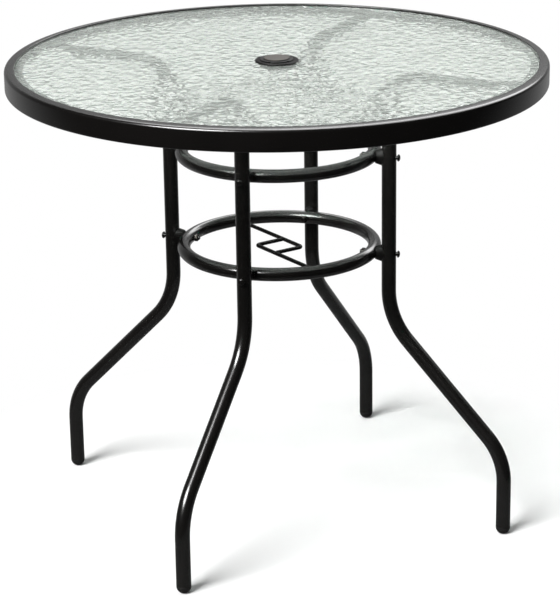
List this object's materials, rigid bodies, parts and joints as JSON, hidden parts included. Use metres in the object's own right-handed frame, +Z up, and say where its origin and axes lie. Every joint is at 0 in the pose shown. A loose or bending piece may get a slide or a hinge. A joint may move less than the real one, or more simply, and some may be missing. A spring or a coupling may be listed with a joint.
{
  "type": "umbrella table",
  "caption": "Round patio table with a rippled glass top in a steel rim, a capped umbrella pole hole, bent tube legs and two tie rings.",
  "frame": {"origin": "on the floor under the middle of the round top", "axes": "+Z up; -Y towards the front leg's upright, +X towards the right leg's upright"},
  "size_m": [0.8076, 0.8076, 0.7126],
  "materials": {
    "glass_rippled": "clear tempered glass with a rippled lower face",
    "rim_paint": "semi-gloss dark brown-black paint",
    "leg_paint": "semi-gloss dark brown-black paint",
    "ring_paint": "semi-gloss dark brown-black paint",
    "rod_paint": "semi-gloss dark brown-black paint",
    "plate_paint": "semi-gloss dark brown-black paint",
    "saddle_plastic": "moulded black plastic",
    "foot_plastic": "moulded black plastic",
    "pad_plastic": "soft clear plastic",
    "bolt_steel": "blackened steel",
    "nut_steel": "zinc-plated steel",
    "screw_steel": "zinc-plated steel",
    "collar_plastic": "moulded black plastic",
    "cap_plastic": "moulded brown-grey plastic"
  },
  "bodies": {
    "table": {"foot_cap_back": "foot_plastic", "foot_cap_front": "foot_plastic", "foot_cap_left": "foot_plastic", "foot_cap_right": "foot_plastic", "glass_pads": "pad_plastic", "glass_top": "glass_rippled", "leg_back": "leg_paint", "leg_front": "leg_paint", "leg_left": "leg_paint", "leg_right": "leg_paint", "leg_screws": "screw_steel", "lower_ring": "ring_paint", "lower_ring_bolts": "bolt_steel", "lower_ring_nuts": "nut_steel", "lower_ring_saddles": "saddle_plastic", "pole_rod_left": "rod_paint", "pole_rod_right": "rod_paint", "rim_frame": "rim_paint", "rim_leg_plates": "plate_paint", "umbrella_collar": "collar_plastic", "upper_ring": "ring_paint", "upper_ring_bolts": "bolt_steel", "upper_ring_nuts": "nut_steel", "upper_ring_saddles": "saddle_plastic"},
    "cap": {"umbrella_cap": "cap_plastic"}
  },
  "joints": [
    {"name": "cap_lift", "type": "slide", "parent": "table", "child": "cap", "axis": [0, 0, 1], "range_m": [0, 0.06]}
  ]
}
